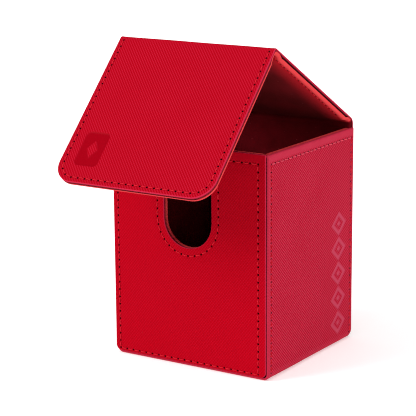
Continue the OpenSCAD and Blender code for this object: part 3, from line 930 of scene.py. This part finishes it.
def notchedSheet(name, place, left, right, foot, rows, settings):
    # rows run from the rim at the left, down, across the foot and up to the rim at the right; columns
    # from the notch's edge to the sheet's own, each outer point paired with a notch point of its share
    o = {**sheetSettings, **settings}
    arm = rim - notchCentre
    cut = arm + notchGrid["shoulder"]
    loop = foldedPath([(left, rim), (left, foot), (right, foot), (right, rim)], [o["corner"]] * 2)
    total, sideRun = loop["at"][-1], rim - foot
    s = stations(0, total, o["step"], o["round"], o["round"], loop)
    outer = along(loop, s)[0]
    run = 2 * arm + pi * notchRadius
    turned = np.clip((s - sideRun) / (total - 2 * sideRun), 0, 1)
    pair = np.where(s > total - sideRun, run - (total - s) / sideRun * cut, cut + turned * (run - 2 * cut))
    pair = np.where(s < sideRun, s / sideRun * cut, pair)
    angle = np.clip((pair - arm) / notchRadius, 0, pi)
    height = np.where(pair > run - arm, rim - (run - pair), notchCentre - notchRadius * np.sin(angle))
    height = np.where(pair < arm, rim - pair, height)
    inner = np.stack([frontMid - notchRadius * np.cos(angle), height], axis=-1)
    share = notchGrid["edgeShare"]
    dip = share * (1 - np.cos(np.linspace(0, pi / 2, gridSettings["edgeRows"])))
    t = np.unique(np.concatenate([dip, 1 - dip, np.linspace(share, 1 - share, o["columns"])]))[None, :, None]
    grid = inner[:, None] * (1 - t) + outer[:, None] * t
    x, z = grid[..., 0], grid[..., 1]
    notch = np.hypot(x - frontMid, np.minimum(z - notchCentre, 0)) - notchRadius
    edge = np.maximum(np.minimum(roundedEdge(x, z, left, right, foot, rim, o["corner"], 0), notch), 0)
    relief, hole = pressedHeight(x, z, edge, rows, o)
    atRim = (s < sizes["lipWide"]) | (s > total - sizes["lipWide"])
    deep = np.where(atRim, o["thick"] + o["rimLip"], o["thick"])
    under = np.stack([place(p[:, 0], p[:, 1], -deep) for p in (inner, outer)], axis=1)
    flatRim = smoothStep(z, rim - sideTop + 0.2, rim - sideTop + 1.6)
    emboss = smoothStep(hole, *reliefSettings["bare"]) * (1 - flatRim)
    shown = np.minimum(notch, rim - z) if o["rimOnly"] else edge
    values = pointValues(emboss, hole, shown, np.zeros_like(x))
    return sheetMesh(name, place(x, z, relief), under, np.stack([x, z], axis=-1), values, o["wallShade"])


rowLeft, rowRight = frontLeft + frontSettings["rowLeft"], frontRight - frontSettings["rowRight"]
rowFoot, rowTop = footZ + frontSettings["rowFoot"], rim - sideTop
notchRow = notchRadius + stitching["notchRow"]
notchLeft, notchRight = frontMid - notchRow, frontMid + notchRow
frontRows = [straightRow(*ends) for ends in (
    ((rowLeft, rowFoot), (rowLeft, rowTop)), ((rowRight, rowFoot), (rowRight, rowTop)),
    ((rowLeft, rowFoot), (rowRight, rowFoot)),
    ((rowLeft, rowTop), (notchLeft, rowTop)), ((notchRight, rowTop), (rowRight, rowTop)))]
frontRows.append(roundRow((frontMid, notchCentre), notchRow, 180, 360))
frontRows += [straightRow((x, rowTop), (x, notchCentre)) for x in (notchLeft, notchRight)]
placeFront = flatPlacer(1, frontY, -1)
frontSkin = notchedSheet("frontSkin", placeFront, frontLeft, frontRight, footZ, frontRows, frontSettings)
finishPiece(frontSkin, frontLeatherette, ["front_skin"], "case")
finishPiece(threadsOn("frontThread", placeFront, frontRows), thread, ["front_stitching"], "case")
placeLining = flatPlacer(1, liningHigh[1], 1)
frontLining = notchedSheet("frontLining", placeLining, liningLow[0], liningHigh[0], liningLow[2], [],
                           frontLiningSettings)
finishPiece(frontLining, suedeLining, ["front_lining"], "case")
print("stage: front")

# the other linings: each faces along one axis, from the low (0) or the high (1) end of its box, and only
# the sides' upper edges get the paler band of painted light
wall = {"round": 0.45, "step": 0.9, "thick": liningThick, "paintedLightEdges": ""}
sideWall = {**wall, "sway": 0.06, "endLip": (0.0, 0.35), "paintedLightEdges": "t"}
for name, nodeName, axis, end, sheet in (
        ("backLining", "back_lining", 1, 0, {**wall, "sway": 0.0, "openHigh": True}),
        ("leftLining", "left_lining", 0, 1, sideWall), ("rightLining", "right_lining", 0, 0, sideWall),
        ("baseLining", "base_lining", 2, 1, {**wall, "round": 0.4, "step": 1.2, "sway": 0.08})):
    box = boxOf(nodeName)
    i, j = (k for k in range(3) if k != axis)
    lining = drapedSheet(name, flatPlacer(axis, box[end][axis], 2 * end - 1), box[0][i], box[1][i],
                         box[0][j], box[1][j], [], **sheet)
    finishPiece(lining, suedeLining, [nodeName], "case")

# boards and magnets keep their own solids
for nodeName, made in frame["nodes"].items():
    for ending, material in (("_board", board), ("_magnets", nickel)):
        if nodeName.endswith(ending):
            made.data.materials.clear()
            made.data.materials.append(material)
print("stage: card compartment, boards and magnets")


# the long strip's pieces get their placing baked into their points
for piece in (backSkin, backThread, backHingeLining):
    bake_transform(piece)
for piece in (lidSkin, lidThread, lidLining, liningThread):
    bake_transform(piece)

floorStand = {
    "size": 60, "below": 0.0002,  # metres
    "shader": {"Base Color": "#FAFAFA", "Roughness": 0.9, "Specular IOR Level": 0.1,
               "Emission Color": "#FFFFFF", "Emission Strength": 0.34},  # lit from below, as a light table is
}


def addFloor(s):
    # one wide plane just under the object's lowest point
    bpy.ops.mesh.primitive_plane_add(size=s["size"], location=(0, 0, cadBox[0][2] - s["below"]))
    floor = bpy.context.object
    floor.name = "floor"
    material, tree, shader = newMaterial("paleFloor")
    setInputs(tree, shader, s["shader"])
    floor.data.materials.append(material)


# suns with a wide disc are as soft as a large diffuser: azimuth, elevation, strength, width
lightSettings = {
    "world": 0.29,
    "key": (-42, 32, 2.1, 30),
    "side": (95, 22, 1.2, 40),
    "top": (10, 78, 1.15, 60),
}


def addLights(s):
    # an even white world, and each sun turned to shine from its own way to the origin
    world = bpy.data.worlds.new("studio")
    bpy.context.scene.world = world
    world.use_nodes = True
    tree = world.node_tree
    setInputs(tree, tree.nodes["Background"], {"Color": "#FFFFFF", "Strength": s["world"]})
    for name in ("key", "side", "top"):
        azimuth, elevation, strength, width = s[name]
        data = bpy.data.lights.new(name, "SUN")
        data.energy, data.angle = strength, radians(width)
        light = bpy.data.objects.new(name, data)
        away = wayTo(azimuth, elevation)
        light.rotation_euler = away.to_track_quat("Z", "Y").to_euler()
        light.location = away
        bpy.context.collection.objects.link(light)
    bpy.context.scene.view_settings.view_transform = "Standard"
    bpy.context.scene.cycles.filter_width = 1.1


addFloor(floorStand)
addLights(lightSettings)
print("stage: floor and light")
